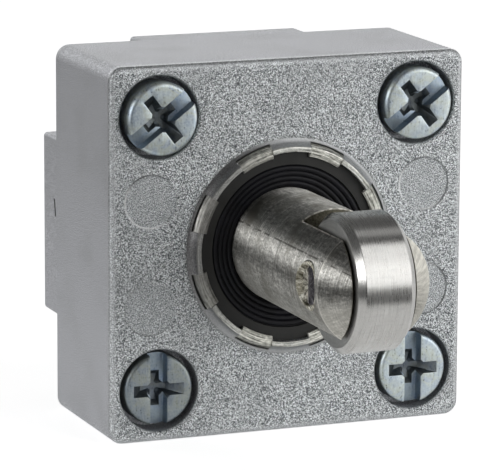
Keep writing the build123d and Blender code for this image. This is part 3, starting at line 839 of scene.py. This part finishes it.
def spring(name, body, material, coil_r, wire, turns, low, high):
    """A round wire wound along a spring's path."""
    steps = 12
    path = spring_path(coil_r, wire, turns, low, high)
    rows = []
    for k, point in enumerate(path):
        ahead = (path[min(k + 1, len(path) - 1)] - path[max(k - 1, 0)]).normalized()
        outward = Vector((point.x, 0, point.z)).normalized()
        side = ahead.cross(outward).normalized()
        outward = side.cross(ahead)
        angles = [tau * i / steps for i in range(steps)]
        rows.append([tuple((point + wire / 2 * (cos(a) * outward + sin(a) * side)) * MM) for a in angles])
    made = dressed(new_object(name, mesh_from(lofted(rows), name)), material)
    shaded_by_angle(made.data, 60)
    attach(made, body)
    return made


def springs(material):
    """Both springs. The return spring is pressed from the front, the overtravel spring from behind."""
    return_spring = spring("return_spring_wire", "head", material, **RETURN_SPRING)
    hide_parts("return_spring")
    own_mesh(return_spring)
    overtravel_spring = spring("overtravel_spring_wire", "plunger", material, **OVERTRAVEL_SPRING)
    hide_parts("overtravel_spring")
    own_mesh(overtravel_spring)


def dress_nodes(finishes):
    """Gives each piece of the model its finish."""
    node_finish = {
        "head_housing": "cast_zinc",
        "fixing_screws": "plated_steel",
        "screw_retaining_rings": "black_polymer",
        "seal_retaining_ring": "black_polymer",
        "wiper_seal": "black_rubber",
        "guide_bush": "bronze",
        "bush_o_ring": "black_rubber",
        "plunger": "turned_steel",
        "roller_axle": "pin_steel",
        "roller": "polished_steel",
        "buffer_washer": "black_rubber",
        "guide_washer": "turned_steel",
        "plunger_circlip": "phosphated_steel",
        "push_rod": "turned_steel",
        "rod_retainer": "turned_steel",
        "overtravel_spring": "spring_steel",
        "return_spring": "spring_steel",
        "rear_guide_plate": "plated_steel",
        "rear_circlip": "phosphated_steel",
        "body_gasket": "black_rubber",
    }
    for node, finish in node_finish.items():
        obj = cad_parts[node]
        if not obj.material_slots:
            obj.data.materials.append(finishes[finish])
        for slot in obj.material_slots:
            slot.material = finishes[finish]


def white_stage():
    """A pale table, white to the camera and in reflections, which keeps the soft shadow of the part."""
    s = Shader("pale_table")
    light = s.node("ShaderNodeLightPath")
    matt = s.node("ShaderNodeBsdfDiffuse", Color=(0.80, 0.80, 0.80, 1))
    mirrored = s.larger(light.outputs["Is Glossy Ray"], light.outputs["Is Transmission Ray"])
    mirrored = s.times(mirrored, TABLE_GLOW_MIRRORED)
    seen = s.times(light.outputs["Is Camera Ray"], TABLE_GLOW_SEEN)
    glow = s.node("ShaderNodeEmission", Color=(1, 1, 1, 1), Strength=s.larger(seen, mirrored))
    both = s.node("ShaderNodeAddShader")
    s.put(both.inputs[0], matt.outputs[0])
    s.put(both.inputs[1], glow.outputs[0])
    s.node("ShaderNodeOutputMaterial", Surface=both.outputs[0])
    bm = bmesh.new()
    left, right = TABLE_X
    front, back = TABLE_Y
    corners = [(left, front), (right, front), (right, back), (left, back)]
    bm.faces.new([bm.verts.new((x, y, -HALF_SIDE * MM - TABLE_GAP)) for x, y in corners])
    dressed(new_object("table", mesh_from(bm, "table")), s.material)


def studio_world():
    """White to the camera. Metal mirrors white behind and at the sides, and dark ahead, above and below."""
    world = bpy.data.worlds.new("studio")
    bpy.context.scene.world = world
    world.use_nodes = True
    w = Nodes(world.node_tree)
    x, y, z = w.axes(w.node("ShaderNodeTexCoord").outputs["Generated"])
    behind = w.slope(y, -0.25, 0.15, 0.14, 1.0)
    ceiling = w.slope(z, 0.35, 0.60, 1.0, 0.14)
    below = w.slope(z, -0.14, -0.02, 0.2, 1.0)
    left = w.slope(x, -0.8, -0.2, 0.6, 1.0)
    studio = w.times(w.times(behind, ceiling), w.times(below, left), 0.8)
    camera_ray = w.node("ShaderNodeLightPath").outputs["Is Camera Ray"]
    strength = w.plus(w.times(studio, w.minus(1.0, camera_ray)), camera_ray)
    back = w.node("ShaderNodeBackground", Color=(1, 1, 1, 1), Strength=strength)
    w.node("ShaderNodeOutputWorld", Surface=back.outputs[0])


def softbox(name, towards, distance, width, height, radiance, turn=0.0):
    """A lamp in a direction from the face's middle, in metres, with the radiance that a mirror shows."""
    lamp = bpy.data.lights.new(name, "AREA")
    lamp.shape = "RECTANGLE"
    lamp.size = width
    lamp.size_y = height
    lamp.energy = radiance * pi * width * height
    direction = Vector(towards).normalized()
    facing = direction.to_track_quat("Z", "Y") @ Quaternion((0, 0, 1), radians(turn))
    made = new_object(name, lamp)
    made.location = direction * distance + Vector((0, -FACE_H * MM, 0))
    made.rotation_euler = facing.to_euler()
    made.visible_camera = False


def studio_lights():
    """The key at the upper right with its fading end above, a bright strip at the left, and two fills."""
    softbox("key", (0.424, -0.734, 0.53), 0.62, 0.26, 0.80, radiance=1.78, turn=-17)
    softbox("key_fade", (0.362, 0.07, 0.93), 0.62, 0.15, 0.30, radiance=0.42)
    softbox("left_strip", (-0.90, -0.34, 0.28), 0.62, 0.46, 0.15, radiance=6.3, turn=-8)
    softbox("right_fill", (0.80, -0.58, 0.12), 0.30, 0.20, 0.26, radiance=2.2)
    softbox("top_back", (0.05, 0.93, 0.36), 0.60, 0.70, 0.24, radiance=1.1)


def camera():
    """The photograph's camera, placed by its angles and distance from the face's middle and moved aside."""
    azimuth, elevation, roll = radians(VIEW_AZIMUTH), radians(VIEW_ELEVATION), radians(VIEW_ROLL)
    back = Vector((sin(azimuth) * cos(elevation), -cos(azimuth) * cos(elevation), sin(elevation)))
    level = Vector((0, 0, 1)).cross(back).normalized()
    upright = back.cross(level)
    right = cos(roll) * level + sin(roll) * upright
    up = cos(roll) * upright - sin(roll) * level
    data = bpy.data.cameras.new("camera")
    data.sensor_width = SENSOR
    data.lens = FOCAL_PIXELS * SENSOR / IMAGE_WIDTH
    data.clip_start = 0.01
    data.clip_end = 20
    made = new_object("camera", data)
    target = Vector((0, -FACE_H * MM, 0))
    offset = (VIEW_RIGHT * right + VIEW_UP * up + VIEW_DISTANCE * back) * MM
    axes = Matrix((right, up, back)).transposed().to_4x4()
    made.matrix_world = Matrix.Translation(target + offset) @ axes
    bpy.context.scene.camera = made


bpy.context.scene.view_settings.view_transform = "Standard"
camera()
studio_world()
studio_lights()
white_stage()

finishes = {
    "cast_zinc": cast_zinc(),
    "turned_steel": turned_steel(),
    "pin_steel": pin_steel(),
    "polished_steel": polished_steel(),
    "plated_steel": plated_steel(),
    "spring_steel": drawn_wire(),
    "bronze": bronze(),
    "phosphated_steel": phosphated_steel(),
    "black_polymer": black_polymer(),
    "black_rubber": black_rubber(),
}
dress_nodes(finishes)
screws(finishes["plated_steel"])
springs(finishes["spring_steel"])
